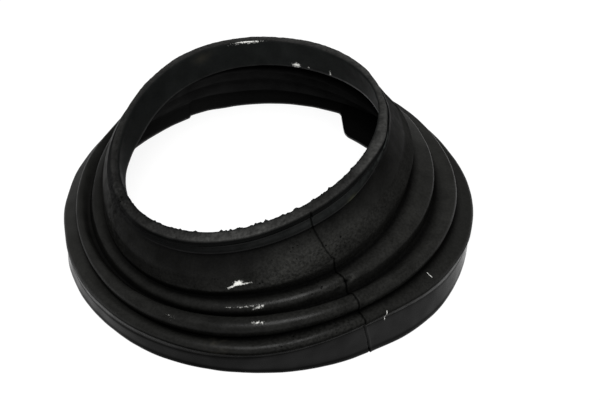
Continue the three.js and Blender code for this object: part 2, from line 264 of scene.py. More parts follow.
def collar_ring(radius, above):
    """A circle round the collar's axis, so far above the outer edge of its end face."""
    lean = math.radians(COLLAR_LEAN)
    return ring(
        radius,
        collar_height + above * math.cos(lean),
        shift=COLLAR_SHIFT + above * math.sin(lean),
        lean=COLLAR_LEAN,
        pitch=COLLAR_PITCH,
        ripple=COLLAR_RIPPLE,
    )


LIP_SLOPE = 0.9
SEAL_LENGTH = 10.7
SEAL_STEP = 3.2
lip = collar_ring(collar_radius, 0)
lip_inner = collar_ring(bore_radius, LIP_SLOPE)
seal_bottom = collar_ring(bore_radius, LIP_SLOPE - SEAL_LENGTH)
seal_shoulder = collar_ring(bore_radius + SEAL_STEP, LIP_SLOPE - SEAL_LENGTH)
lip[:, 0] += around({-125: -0.6, -95: 0, -40: 0, -24: 0.45, -4: -0.4, 12: -0.9, 24: -0.7, 42: -0.2,
                     60: 0.6, 82: 0.45, 115: 0.75, 128: 0.95, 142: 0.4, 152: 0.1})
lip_inner[:, 0] -= 0.7 * bump_at(-130, 22)
seal_bottom[:, 0] += around({130: 0, 157: -0.45, 179: 0.9, -160: 0})
print("the lip lies from", lip[:, 1].min().round(1), "to", lip[:, 1].max().round(1), "mm up")

# %% [markdown]
# ## The section
#
# Between two crests lies a valley. Its bottom is given at a few bearings, by how far out and how far up
# it lies from the crest above it. The list of corners below goes up the outside and down the inside. Every
# corner says how round it is, how many steps its round gets, and how many steps lead on to the next
# corner. The solid model has the same corners, with fewer steps and without what was set again.

# %% Find the bottoms of the folds
FOLD_WALL = 3.4
STRETCHED = (1 + np.cos(np.radians(off_bearing(RIGHT)))) / 2

outer_valley = outer + around({LEFT: (-1.6, -2.9), FRONT: (-0.3, -6.1), SEAM_SIDE: (-0.6, -5.0),
                               RIGHT: (-0.8, -5.4), FAR: (-0.4, -5.3)})
middle_valley = middle + around({LEFT: (1.8, -5.2), FRONT: (0.9, -4.3), SEAM_SIDE: (1.4, -5.4),
                                 RIGHT: (-0.6, -5.2), FAR: (1.0, -3.8)})
inner_valley = inner + around({LEFT: (0.5, -2.0), FRONT: (-0.7, -2.6), SEAM_SIDE: (0.2, -5.6),
                               RIGHT: (-1.0, -5.2), FAR: (-1.6, -2.4)})
valley_round = around({LEFT: 1.2, FRONT: 0.9, SEAM_SIDE: 1.8, RIGHT: 1.2, FAR: 1.0})
deepest = np.linalg.norm(outer_valley - outer, axis=1).max()
print("the deepest fold lies", round(float(deepest), 1), "mm under its crest")

# %% Shape the skirt
SKIRT_LOBE, LOBE_BEARING = 1.1, 94
SKIRT_OVAL, OVAL_BEARING = 0.45, 80
lobes = SKIRT_LOBE * np.cos(3 * (BEARING - math.radians(LOBE_BEARING)))
oval = SKIRT_OVAL * np.cos(2 * (BEARING - math.radians(OVAL_BEARING)))
skirt = SKIRT_RADIUS + lobes + oval
skirt += around({-176: 0, -164: 0.35, -152: 0.05, -134: -0.3, -120: 0.1, -108: 0.15, -96: -0.1, -84: 0.2,
                 -72: 0.0, -60: -0.3, -46: 0.35, -38: 0.5, -24: -0.1, 5: 0, 90: 0})
crease[:, 0] += (lobes + oval) / 2
crease_depth = around({LEFT: 0.05, -150: 0.1, -125: 0.4, FRONT: 0.5, SEAM_SIDE: 0.25, -30: 0.1,
                       RIGHT: 0.1, FAR: 0.3})
print("the skirt is", round(2 * float(skirt.min()), 1), "to", round(2 * float(skirt.max()), 1), "mm across")

# %% Shape the neck and the groove
NECK_FULLNESS = 0.9
neck_way = unit(rib - inner)
neck = (inner + rib) / 2 - left_of(neck_way) * column(NECK_FULLNESS * (1 - STRETCHED))

merged = around({-62: 0, -10: 0.68, 16: 0.6, 70: 0, 175: 0})
rib = rib + (lip - rib) * column(merged)
RIB_WIDTH = 0.8
RIB_LEDGE = 0.4
RIB_RELIEF = 0.2
LIP_THICKNESS = 1.9
GROOVE_DEPTH = 0.4
GROOVE_ROOM = 3.6
room = np.linalg.norm(lip - rib, axis=1)
clamped = around({LEFT: 0.05, -150: 0.15, -130: 0.8, FRONT: 1.0, SEAM_SIDE: 1.0, -20: 0.7, 5: 0.05,
                  FAR: 0.05})
squeeze = column(np.minimum(1, room / GROOVE_ROOM))
relief_of_rib = squeeze * column(clamped)
groove_way = unit(lip - rib)
inwards = left_of(groove_way)
rib_root = rib + inwards * RIB_RELIEF * relief_of_rib
rib_edge = rib + groove_way * 0.35 * squeeze - inwards * RIB_LEDGE * relief_of_rib
rib_top = rib + groove_way * RIB_WIDTH * squeeze - inwards * RIB_LEDGE * 0.8 * relief_of_rib
lip_bottom = lip - groove_way * LIP_THICKNESS * squeeze
sunk = 0.4 * squeeze + 0.6 * relief_of_rib
groove = lip_bottom - groove_way * 0.15 * squeeze + inwards * GROOVE_DEPTH * sunk
print("from the rib to the lip it is", room.min().round(1), "to", room.max().round(1), "mm")

# %% Hollow out the inside and set the lug in it
LUG_BEARING = 45.7
LUG_WIDTH = 25.2
LUG_FACE = 50.3
LUG_HEIGHT = 7.4
LUG_FLARE = 48
LUG_CORNER = 6
LUG_ROOT = 3.5

behind = -left_of(unit(flange - inner)) * FOLD_WALL
thick_part = around({60: 0.25, 78: 0.3, 93: 0.1, 103: 0.1, 111: -0.6, 116: -0.7, 117: 0.3, 122: 0.45,
                     127: 0.6, 135: 0.45, 145: 0.3, 160: 0, -90: 0})
wall = crease[:, 0] - SKIRT_WALL - thick_part


def lug_outline():
    """Half of the lug's outline, seen from above: face, rounded corner, flank, and a hollow root."""
    flare = math.radians(LUG_FLARE)
    flank = np.array([math.cos(flare), math.sin(flare)])
    face = np.array([LUG_FACE, LUG_WIDTH / 2])
    setback = LUG_CORNER * math.tan((math.pi / 2 - flare) / 2)
    centre = face + np.array([LUG_CORNER, -setback])
    angles = np.linspace(math.pi, math.pi / 2 + flare, 12)
    outline = [np.array([LUG_FACE, 0.0])]
    outline += [centre + LUG_CORNER * np.array([math.cos(a), math.sin(a)]) for a in angles]
    outline += [outline[-1] + flank * s for s in np.linspace(0.5, 14, 28)]
    return np.array(outline)


half = lug_outline()
angle = np.degrees(np.arctan2(half[:, 1], half[:, 0]))
reach = np.interp(np.abs(off_bearing(LUG_BEARING)), angle, np.hypot(half[:, 0], half[:, 1]))
gap = wall - reach
root = LUG_ROOT * 0.5
lug_radius = wall - (gap + np.sqrt(gap**2 + root**2)) / 2 + root * 0.02
LUG = smoothstep((wall - lug_radius) / 1.5)
lug_radius = wall - (wall - lug_radius) * smoothstep((wall - lug_radius) / 0.8)
hollow = point(wall + 0.4, crease[:, 1])
lug_top = point(wall, LUG_HEIGHT)
lug_edge = point(lug_radius, LUG_HEIGHT)
low_wall = point(wall, crease[:, 1] - SKIRT_WALL / 2)
foot = point(skirt - SKIRT_WALL - thick_part, 0)
lug_foot = point(lug_radius, 0)
share = column(LUG)
upper_root = hollow * (1 - share) + lug_top * share
ledge = low_wall * (1 - share) + lug_edge * share
bottom_inside = foot * (1 - share) + lug_foot * share
print("the lug stands out by", round(float((wall - lug_radius).max()), 2), "mm")

# %% List the corners of the section
ROLL_TIP = 60
VALLEY_ROUND = 0.9
VALLEY_REACH = 0.4
EDGE_ROUND = 0.8
FLANGE_ROUND = 2
NECK_ROUND = 9
LIP_ROUND = 0.3
INSIDE_ROUND = 2
CORNERS = []


def corner(name, at, round_by=0.0, steps=5, run=3, reach=VALLEY_REACH):
    """A corner of the section, with the radius of its round and the room that the round may take up."""
    CORNERS.append(dict(name=name, at=at, round=column(round_by)[:, 0], steps=steps, run=run, reach=reach))


def roll(name, tip, radius, tip_angle=ROLL_TIP, steps=14, run=3):
    """A round fold. Its tip is the line that catches the light, so many degrees above the way outwards."""
    way = np.radians(column(tip_angle))
    centre = tip - column(radius) * np.concatenate([np.cos(way), np.sin(way)], axis=1)
    CORNERS.append(dict(name=name, at=centre, roll=column(radius)[:, 0], steps=steps, run=run))


outer_tip = outer - column(0.3 * bump_at(LEFT, 30)) * np.array([1, 0])
inner_tip = inner + around({LEFT: (0, 0), FRONT: (0, 0.3), RIGHT: (0, 0)})
drawn_over = around({LEFT: ROLL_TIP, FRONT: ROLL_TIP, SEAM_SIDE: 50, RIGHT: 25, FAR: ROLL_TIP})
drawn_over_inner = around({LEFT: ROLL_TIP, FRONT: 0, SEAM_SIDE: 25, RIGHT: 25, FAR: ROLL_TIP})

corner("foot", point(skirt + 0.15, 0), EDGE_ROUND, run=10)
corner("skirt_top", point(crease[:, 0], crease[:, 1] - crease_depth), EDGE_ROUND, run=1)
corner("crease", point(crease[:, 0] - crease_depth, crease[:, 1]), 0.2, steps=3)
roll("flange", flange, FLANGE_ROUND, tip_angle=0, run=14)
corner("outer_valley", outer_valley, VALLEY_ROUND)
roll("outer", outer_tip, around({LEFT: 1.3, FRONT: 3.0, SEAM_SIDE: 2.5, RIGHT: 1.0, FAR: 1.2}),
     tip_angle=drawn_over)
corner("middle_valley", middle_valley, valley_round)
roll("middle", middle, around({LEFT: 1.6, FRONT: 2.6, SEAM_SIDE: 2.5, RIGHT: 1.0, FAR: 1.4}),
     tip_angle=drawn_over)
corner("inner_valley", inner_valley, valley_round)
roll("inner", inner_tip, around({LEFT: 1.6, FRONT: 1.0, SEAM_SIDE: 2.4, RIGHT: 1.2, FAR: 1.4}),
     tip_angle=drawn_over_inner, run=8)
corner("neck", neck, NECK_ROUND, steps=8, run=8)
corner("rib_root", rib_root, 0.2, steps=3, run=1)
corner("rib_edge", rib_edge, 0.15, steps=2, run=1)
corner("rib_top", rib_top, 0.3, steps=3)
corner("groove", groove, 0.2, steps=3, run=1)
corner("lip_bottom", lip_bottom, 0.2, steps=3)
corner("lip", lip, LIP_ROUND, steps=3, run=6)
corner("lip_inner", lip_inner, LIP_ROUND, steps=3, run=10)
corner("seal_bottom", seal_bottom, 0.5)
corner("seal_shoulder", seal_shoulder, 0.3, steps=3, run=4)
for name, at in (("inner", inner), ("inner_valley", inner_valley), ("middle", middle),
                 ("middle_valley", middle_valley), ("outer", outer), ("outer_valley", outer_valley)):
    corner("inside_" + name, at + behind, VALLEY_ROUND if "valley" in name else INSIDE_ROUND)
corner("upper_root", upper_root, 0.3, steps=3)
corner("ledge", ledge, 0.6, steps=3, run=8)
corner("bottom_inside", bottom_inside, EDGE_ROUND - 0.4 * LUG, run=4)
print(len(CORNERS), "corners")

# %% Round the corners
def rolled(before, c, after):
    """The points of a roll: the arc between the straight sides that come up from the valleys and touch it."""
    centre = c["at"]
    low, high = before - centre, after - centre
    far_low, far_high = np.linalg.norm(low, axis=1), np.linalg.norm(high, axis=1)
    radius = np.minimum(c["roll"], 0.97 * np.minimum(far_low, far_high))
    start = np.arctan2(low[:, 1], low[:, 0]) + np.arccos(radius / far_low)
    end = np.arctan2(high[:, 1], high[:, 0]) - np.arccos(radius / far_high)
    sweep = (end - start) % (2 * math.pi)
    angles = [start + sweep * i / c["steps"] for i in range(c["steps"] + 1)]
    return [centre + column(radius) * np.stack([np.cos(a), np.sin(a)], axis=1) for a in angles]


def rounded(before, c, after):
    """The points of one rounded corner at every bearing: an arc that touches both of its sides."""
    at, steps = c["at"], c["steps"]
    if not c["round"].any():
        return [at]
    down, on = unit(before - at), unit(after - at)
    half = np.arccos(np.clip((down * on).sum(1), -0.9999, 0.9999)) / 2
    shorter = np.minimum(np.linalg.norm(before - at, axis=1), np.linalg.norm(after - at, axis=1))
    touch = np.minimum(c["round"] / np.tan(half), c["reach"] * shorter)
    radius = touch * np.tan(half)
    bisector = unit(down + on)
    centre = at + bisector * column(radius / np.sin(half))
    first = at + down * column(touch) - centre
    side = -np.sign(down[:, 0] * on[:, 1] - down[:, 1] * on[:, 0])
    points = []
    for i in range(steps + 1):
        a = side * (math.pi - 2 * half) * i / steps
        across, deep = np.cos(a), np.sin(a)
        points.append(centre + np.stack([first[:, 0] * across - first[:, 1] * deep,
                                         first[:, 0] * deep + first[:, 1] * across], axis=1))
    return points


def neighbours(i):
    """The corners before and after one."""
    return CORNERS[i - 1], CORNERS[(i + 1) % len(CORNERS)]


arcs = [None] * len(CORNERS)
for i, c in enumerate(CORNERS):
    if "roll" in c:
        before, after = neighbours(i)
        arcs[i] = rolled(before["at"], c, after["at"])
for i, c in enumerate(CORNERS):
    if "roll" not in c:
        before, after = neighbours(i)
        low = arcs[i - 1][-1] if "roll" in before else before["at"]
        high = arcs[(i + 1) % len(CORNERS)][0] if "roll" in after else after["at"]
        arcs[i] = rounded(low, c, high)
outline, START = [], {}
for i, (c, arc) in enumerate(zip(CORNERS, arcs)):
    START[c["name"]] = len(outline)
    outline += arc
    onward = arcs[(i + 1) % len(arcs)][0]
    outline += [arc[-1] + (onward - arc[-1]) * k / c["run"] for k in range(1, c["run"])]
section = np.stack(outline, axis=1)
print("a section has", section.shape[1], "points")


# %% Set the sections round the axis
def in_space(section):
    """The points of the sections, set round the axis."""
    r, z = section[..., 0], section[..., 1]
    return np.stack([r * np.cos(BEARING)[:, None], r * np.sin(BEARING)[:, None], z], axis=-1)


def normals_of(grid):
    """The way out of the rubber at every point of the skin, from the points on either side of it."""
    round_it = np.roll(grid, -1, axis=0) - np.roll(grid, 1, axis=0)
    along_it = np.roll(grid, -1, axis=1) - np.roll(grid, 1, axis=1)
    out = np.cross(round_it, along_it)
    return out / np.maximum(np.linalg.norm(out, axis=-1, keepdims=True), 1e-9)


skin = in_space(section)
steps_along = np.linalg.norm(np.diff(section, axis=1), axis=-1)
ALONG = np.concatenate([np.zeros((len(BEARING), 1)), np.cumsum(steps_along, axis=1)], axis=1)
print("skin of", skin.shape[0] * skin.shape[1], "points")

# %% [markdown]
# ## Where a mark lies
#
# Each mark below is placed by its bearing and by the corner of the section that it lies next to. Both are
# read off the photograph. A mark fades out over its own length round the boot, and its own width.

# %% Helpers for marks
def line_at(corner_name, step=0):
    """How far along each section a corner lies, in millimetres."""
    return ALONG[:, START[corner_name] + step][:, None]


def zone(first, last, fade=0.4):
    """1 from the first corner to the last, with a soft edge on both sides."""
    low, high = line_at(first), line_at(last)
    return smoothstep((ALONG - low) / fade + 0.5) * smoothstep((high - ALONG) / fade + 0.5)


def mark(bearing, corner_name, step=0, length=3.0, width=1.0, slant=0.0):
    """A soft oval mark, so long round the boot and so wide across, which may run at a slant."""
    there = np.abs(off_bearing(bearing)).argmin()
    radius = section[there, START[corner_name] + step, 0]
    across = np.radians(off_bearing(bearing))[:, None] * radius
    up_it = ALONG - line_at(corner_name, step)
    return np.exp(-((across / length) ** 2) - (((up_it - slant * across) / width) ** 2))


def wavy(grid, size, seed, octaves=2):
    """Smooth noise from about -1 to 1 over the skin, with features about so many millimetres across."""
    offset = Vector((seed * 7.3, seed * 3.1, seed * 5.7))
    flat = [noise.fractal(Vector(p) / size + offset, 1.0, 2.0, octaves) for p in grid.reshape(-1, 3)]
    return np.array(flat).reshape(grid.shape[:2])


slow = wavy(skin, 14, 1)
patchy = wavy(skin, 5, 2)
fine_noise = wavy(skin, 1.6, 3)
print("noise from", round(float(slow.min()), 2), "to", round(float(slow.max()), 2))

# %% [markdown]
# ## The parting seam
#
# The mould has two halves, and rubber creeps into the gap between them. When the boot is pulled out,
# that thin flash is torn off. It leaves a line that runs from the lip down to the bottom edge, a narrow
# furrow with a raised bank, and on the rolls little chips where the flash came off with some of the rubber.
# Near the collar the line drifts to the left, because the collar itself has shifted that way.

# %% Cut the seam
SEAM_PATH = {"foot": -61.1, "flange": -62.4, "outer": -63.2, "middle": -63.5, "inner_valley": -64.8,
             "inner": -65.2, "neck": -68.4, "rib_root": -71.2, "lip": -71.4}
SEAM_DEPTH = 0.30
SEAM_WIDTH = 0.20
SEAM_BANK = 0.10
SEAM_WANDER = 0.35

near_seam = np.abs(off_bearing(SEAM_BEARING)).argmin()
stops = [ALONG[near_seam, START[name]] for name in SEAM_PATH]
seam_bearing = np.interp(ALONG[near_seam], stops, list(SEAM_PATH.values()))
random = np.random.default_rng(4)
wander = np.convolve(random.normal(size=len(seam_bearing) + 8), np.ones(9) / 9, "valid") * SEAM_WANDER
off_seam = np.radians(off_bearing(0)[:, None] - seam_bearing[None, :]) * section[..., 0]
off_seam = off_seam - wander[None, :]
outside = zone("foot", "lip", 0.6)
furrow = np.exp(-((off_seam / SEAM_WIDTH) ** 2))
bank = np.exp(-(((off_seam - 2.2 * SEAM_WIDTH) / (1.3 * SEAM_WIDTH)) ** 2))
step = smoothstep(off_seam / 0.8 + 0.5) * np.exp(-np.abs(off_seam) / 2.4)
relief = outside * (-SEAM_DEPTH * furrow + SEAM_BANK * bank + 0.22 * step)
chips = (mark(-64.8, "middle", 4, 1.6, 1.1) + 0.8 * mark(-66.2, "middle", 1, 1.3, 0.7)
         + 0.9 * mark(-62.2, "middle", 3, 0.9, 0.6) + 0.7 * mark(-64.0, "middle", 12, 1.4, 0.6)
         + 0.7 * mark(-62.6, "middle", 6, 1.2, 0.6) + 0.6 * mark(-64.6, "outer", 9, 1.5, 0.6)
         + 0.6 * mark(-62.0, "outer", 4, 1.2, 0.6) + 0.5 * mark(-66.8, "inner", 2, 1.4, 0.9))
relief -= 0.5 * np.clip(chips + 0.35 * fine_noise * (chips > 0.2), 0, 1)
print("the seam runs over", len(seam_bearing), "points and drifts",
      round(float(np.ptp(seam_bearing)), 1), "degrees")

# %% [markdown]
# ## The trimmed lip
#
# The collar came out of the mould with a web of rubber across its bore, and a knife cut it away. The cut
# face is rough and greyer than the moulded skin, and small nibs of the web still stand along its inner
# edge, mostly at the front.

# %% Roughen the lip
LIP_ROUGHNESS = 0.13
NIB_SIZE = 0.45
nibs_here = around({LEFT: 0.25, FRONT: 1.0, SEAM_SIDE: 0.8, -20: 0.2, RIGHT: 0.1, FAR: 0.1})[:, None]
end_face = zone("lip", "lip_inner", 0.5)
inner_edge = mark(0, "lip_inner", 2, 400, 0.5)
ragged = np.clip(wavy(skin, 0.9, 7) * 1.9 + patchy * 0.6 - 0.2, 0, 1)
nibs = inner_edge * nibs_here * ragged * NIB_SIZE
for bearing, size in ((-107, 0.6), (-93, 0.4), (-89, 0.7), (-76, 0.5), (-118, 0.4), (-60, 0.4), (-100, 0.3)):
    nibs += size * mark(bearing, "lip_inner", 2, 0.45, 0.5)
relief += nibs + end_face * LIP_ROUGHNESS * fine_noise
for bearing, size in ((-97, 0.6), (-96, 0.4), (-91, 0.3), (-99.5, 0.4), (-159, 0.6), (-72, 0.3), (-150, 0.3)):
    relief -= size * mark(bearing, "lip", 4, 0.5, 0.35)
print("the nibs stand up to", round(float(nibs.max()), 2), "mm out of the lip")

# %% [markdown]
# ## Hand-made evenness
#
# Moulded rubber is never quite even. The rolls swell and sink a little along their length, and old rubber
# gets a fine orange-peel skin. Without it the highlights would run on like drawn lines.

# %% Make the skin a little uneven
rough_spot = np.clip(mark(-162, "lip", 4, 8, 4) + mark(-157, "neck", 6, 8, 6), 0, 1)
relief += 0.3 * rough_spot * fine_noise - 0.5 * mark(-159.2, "lip", 5, 0.7, 0.7)
relief -= 0.35 * mark(-94.8, "lip", 5, 0.5, 0.4) + 0.35 * mark(-92.6, "lip", 5, 0.6, 0.4)
relief += 0.16 * slow + 0.05 * patchy
relief -= 0.25 * mark(-112.5, "inner", 0, 0.8, 0.6)
skin = skin + normals_of(skin) * relief[..., None]
skin[..., 2] = np.maximum(skin[..., 2], 0)
print("relief from", round(float(relief.min()), 2), "to", round(float(relief.max()), 2), "mm")

# %% [markdown]
# ## The colours of a used boot
#
# Clean black rubber gives back hardly any light, so what one sees on it is mostly what has happened to it,
# and here also light and shade that are painted into its colour. The cut face of the lip is grey and dull,
# and it is painted lighter towards its outer edge, as a highlight. The groove under the clamp gets a cold,
# bluish painted sheen. Brownish dust sits on the neck and the flange. The rolls are painted darker towards
# the valleys and on their undersides, and the bottoms of the folds are painted deep black, all as shade.
# Each point of the skin gets a tone, and a finish of three numbers: how rough it is, how strongly it
# mirrors, and how much grain it has.

# %% Helpers for tones
BLACK = 0.0012
CUT_COLOUR = (1.02, 1.02, 0.98)
DUST_COLOUR = (1.02, 1.02, 0.95)
# A cool tint for painted sheen.
PAINTED_SHEEN_TINT = (0.95, 1.04, 1.01)
BROWN_TONE = (0.017, 0.016, 0.013)
GREEN_TONE = (0.020, 0.021, 0.012)
TORN_TONE = (0.026, 0.026, 0.024)


def painted(tone, mask, colour):
    """The tone with a colour laid over it, as thickly as the mask says."""
    mask = np.clip(mask, 0, 1)[..., None]
    return tone * (1 - mask) + np.asarray(colour) * mask


def greyed(tone, mask, grey, colour=(1, 1, 1)):
    """The same, with a grey that may change from point to point."""
    return painted(tone, mask, np.clip(grey, 0, 1)[..., None] * np.asarray(colour))


def all_round(keys):
    """The same as around, ready to multiply the whole skin."""
    return around(keys)[:, None]


def valley_at(name, width):
    """1 at the bottom of a valley, fading out within the given width."""
    return np.exp(-(((ALONG - line_at(name, 2)) / width) ** 2))


facing_up = normals_of(skin)[..., 2]
print("points that face up:", int((facing_up > 0).sum()))

# %% [markdown]
# The folds come first, because most tones depend on them. The bottom of a valley is painted black as
# shade, and the tone rises with the distance from it. Where the rubber faces down it is painted darker too,
# as shade on the underside.

# %% Find the folds and their painted shade
VALLEYS = ("outer_valley", "middle_valley", "inner_valley")
# The bottoms of the valleys, where black is painted as shade.
folds = np.clip(valley_at("outer_valley", 1.0) + valley_at("middle_valley", 1.1)
                + valley_at("inner_valley", 1.0), 0, 1)
folds = folds * all_round({LEFT: 0.3, -150: 0.6, FRONT: 1, SEAM_SIDE: 0.9, RIGHT: 0.6, FAR: 0.8})
from_valley = np.minimum.reduce([np.abs(ALONG - line_at(name, 2)) for name in VALLEYS])
rise = all_round({LEFT: 4.5, FRONT: 3.4, SEAM_SIDE: 4.6, -20: 4.2, RIGHT: 3.4, FAR: 4})
# A factor of painted shade: the rolls grow darker towards each valley, and where they face down.
painted_fold_shade = smoothstep(from_valley / rise)
least = all_round({LEFT: 0.6, -150: 0.5, FRONT: 0.3, -80: 0.4, SEAM_SIDE: 0.5, -30: 0.45, RIGHT: 0.45})
painted_fold_shade = least * (1 - painted_fold_shade) + painted_fold_shade
unlit = all_round({LEFT: 0.5, -150: 0.45, FRONT: 0.35, -80: 0.5, SEAM_SIDE: 0.6, -30: 0.55, RIGHT: 0.55})
painted_fold_shade = painted_fold_shade * (unlit + (1 - unlit) * smoothstep((facing_up + 0.05) / 0.7))
print("wear from", painted_fold_shade.min().round(2), "to", painted_fold_shade.max().round(2))

# %% Divide the skin into zones
rolls = zone("flange", "neck", 1.5)
neck_zone = zone("inner", "rib_root", 1.0)
past_the_foot = np.maximum(ALONG - line_at("inner", 10), 0)
foot_shade = np.exp(-((past_the_foot / 3.2) ** 2)) * smoothstep((line_at("rib_root") - ALONG) / 3)
foot_shade = foot_shade * all_round({LEFT: 0, FRONT: 0, -95: 0.2, -80: 0.8, SEAM_SIDE: 0.8, -30: 0.35,
                                     RIGHT: 0.1, 60: 0, FAR: 0}) * neck_zone
groove_zone = zone("rib_top", "lip", 0.3) * column(clamped)
side_of_lip = zone("rib_root", "lip", 0.3) * (1 - column(clamped))
flange_zone = zone("crease", "outer_valley", 1.0)
inside_zone = smoothstep((ALONG - line_at("seal_bottom")) / 0.6)
inside_zone = inside_zone * smoothstep((line_at("bottom_inside") - ALONG) / 0.6)
collar_wall = zone("lip_inner", "seal_bottom", 0.8)
up_the_neck = np.clip((ALONG - line_at("inner", 14)) / (line_at("rib_root") - line_at("inner", 14)), 0, 1)
print("points on the neck:", int((neck_zone > 0.5).sum()))

# %% Lay on the dust, the painted sheen and shade, and the greys
roll_grey = all_round({LEFT: 0.0120, FRONT: 0.0085, SEAM_SIDE: 0.0120, -20: 0.0155, RIGHT: 0.0160, FAR: 0.0060})
neck_foot = all_round({LEFT: 0.0105, -150: 0.0055, -120: 0.0055, -98: 0.0085, -80: 0.0310, SEAM_SIDE: 0.0215,
                       -30: 0.0105, RIGHT: 0.0100, FAR: 0.0050})
neck_top = all_round({LEFT: 0.0100, -150: 0.0028, FRONT: 0.0015, SEAM_SIDE: 0.0016, -30: 0.0020,
                      RIGHT: 0.0040, FAR: 0.0040})
# The greys of the inside stand for the light that reaches in: lighter on the left, and darker on the
# low wall, as painted light and shade.
painted_inside_light = all_round({LEFT: 0.012, 150: 0.012, 120: 0.010, 95: 0.0065, 60: 0.0045, RIGHT: 0.003})
painted_inside_light = painted_inside_light * (1 + 0.4 * patchy)
black_all_over = np.full(ALONG.shape, BLACK)
tone = np.full(skin.shape, BLACK)
# The rolls get their grey, darkened by the painted shade of the folds.
tone = greyed(tone, rolls * (0.85 + 0.25 * patchy), roll_grey * painted_fold_shade, DUST_COLOUR)
flange_dust = all_round({LEFT: 0.013, FRONT: 0.0075, SEAM_SIDE: 0.0105, RIGHT: 0.0100, FAR: 0.005})
# The flange gets its grey, darkened by the same painted shade.
tone = greyed(tone, flange_zone * (0.85 + 0.3 * patchy), flange_dust * painted_fold_shade, DUST_COLOUR)
# The neck's grey goes from one value at its foot to another under the rib; at the front it is darker under
# the rib.
tone = greyed(tone, neck_zone, neck_foot + (neck_top - neck_foot) * up_the_neck, DUST_COLOUR)
tone *= (1 + neck_zone * (0.25 * patchy + 0.15 * slow))[..., None]
tone *= (1 - 0.8 * neck_zone * foot_shade)[..., None]
lip_side = all_round({LEFT: 0.010, FRONT: 0.005, -15: 0.006, RIGHT: 0.0085, FAR: 0.005})
tone = greyed(tone, side_of_lip, lip_side)
# Painted sheen: the groove under the clamp gets a cold, bluish reflection laid into its tone.
painted_groove_sheen = all_round({LEFT: 0.003, -130: 0.0016, FRONT: 0.0015, SEAM_SIDE: 0.0044, -38: 0.0060, -30: 0.0130,
                    -20: 0.0190, -8: 0.006})
broken_up = all_round({LEFT: 0, FRONT: 0.1, SEAM_SIDE: 0.15, -35: 0.8, -15: 0.9, RIGHT: 0})
painted_groove_sheen = painted_groove_sheen * (1 + broken_up * fine_noise * 1.5)
tone = greyed(tone, groove_zone, painted_groove_sheen * (0.4 + zone("rib_edge", "groove", 1.0)), PAINTED_SHEEN_TINT)
# Painted shade under the edge of the lip, laid on black.
painted_shade_under_lip = zone("lip_bottom", "lip", 0.4) * column(clamped)
tone = greyed(tone, painted_shade_under_lip, black_all_over, PAINTED_SHEEN_TINT)
# Painted shade: a black line under the rib.
painted_shade_line_of_rib = mark(0, "rib_root", 0, 4000, 0.5) * column(clamped)
tone = greyed(tone, painted_shade_line_of_rib, black_all_over)
cut = all_round({LEFT: 0.0105, -150: 0.0085, -125: 0.015, FRONT: 0.0275, SEAM_SIDE: 0.0105, -30: 0.024,
                 RIGHT: 0.0270, 70: 0.026, FAR: 0.0190})
# The cut face is painted lighter towards its outer edge, as a highlight on that edge, over its own grey.
across_it = np.clip((ALONG - line_at("lip")) / (line_at("lip_inner") - line_at("lip")), 0, 1)
tone = greyed(tone, end_face, cut * (1.3 - 0.65 * across_it + 0.35 * fine_noise + 0.2 * patchy), CUT_COLOUR)
bore_grey = all_round({LEFT: 0.0060, -150: 0.006, FAR: 0.0062, 85: 0.0080, RIGHT: 0.0070})
# The bore of the collar gets its grey with a slight painted sheen tint.
tone = greyed(tone, collar_wall, bore_grey * (1 + 0.25 * patchy), PAINTED_SHEEN_TINT)
# Painted light and shade on the inside of the folds, and below it on the low wall.
tone = greyed(tone, zone("inside_inner_valley", "upper_root", 0.8), painted_inside_light)
painted_low_inside_shade = all_round({150: 0.0060, 120: 0.0060, 95: 0.0035, 70: 0.002, RIGHT: 0.002, -100: 0.002})
tone = greyed(tone, zone("upper_root", "bottom_inside", 0.8), painted_low_inside_shade)
# Painted shade: the bottoms of the valleys are laid on black.
tone = greyed(tone, folds, black_all_over)
print("tones from", tone.min().round(4), "to", tone.max().round(4))

# %% Add the spots, the chips and the pits
tone = painted(tone, mark(118.5, "lip_inner", 5, 2.6, 1.6) * (0.4 + patchy), BROWN_TONE)
tone = painted(tone, mark(-103, "flange", 10, 3.4, 2.6) * (0.2 + 0.8 * fine_noise), BROWN_TONE)
torn = (0.9 * mark(-66.3, "middle", 2, 1.5, 0.45) + 0.8 * mark(-61.1, "middle", 4, 0.8, 0.5)
        + 0.6 * mark(-59.1, "outer", 5, 0.7, 0.4))
tone = painted(tone, torn, TORN_TONE)
shaded = (1.1 * mark(-63.6, "middle", 4, 1.1, 0.7) + 0.9 * mark(-66.3, "middle", 0, 1.5, 0.5)
          + 1.2 * mark(-63.0, "outer_valley", 2, 2.0, 1.2) + 0.8 * mark(-62.2, "outer", 3, 0.9, 0.5))
tone = painted(tone, shaded, (BLACK, BLACK, BLACK))
tone = painted(tone, mark(-52.5, "rib_edge", 1, 1.6, 0.5), GREEN_TONE)
pit_dark = (mark(-159.2, "lip", 5, 0.8, 0.8) + 0.7 * mark(-94.8, "lip", 5, 0.5, 0.4)
            + 0.7 * mark(-92.6, "lip", 5, 0.6, 0.4))
tone *= (1 - 0.85 * np.clip(pit_dark, 0, 1))[..., None]
tone *= (1 + 0.45 * rough_spot * wavy(skin, 0.6, 9, 3))[..., None]
seam_dark = outside * np.exp(-((off_seam / 0.24) ** 2))
# Painted shadow along the foot of the skirt, where it meets the floor.
painted_foot_shadow = 0.75 * np.exp(-(((ALONG - line_at("foot", 5) - 0.7) / 0.7) ** 2))
tone *= (1 - 0.85 * np.clip(seam_dark + painted_foot_shadow, 0, 1))[..., None]
print("tones from", tone.min().round(4), "to", tone.max().round(4))

# %% [markdown]
# The finish says how each point gives back the light. The shine is taken away step by step, in the
# valleys, on the underside of the rolls and on what is dull. It is nothing on the inside below the collar,
# because seen at a low angle even a weak mirror would show the pale floor.

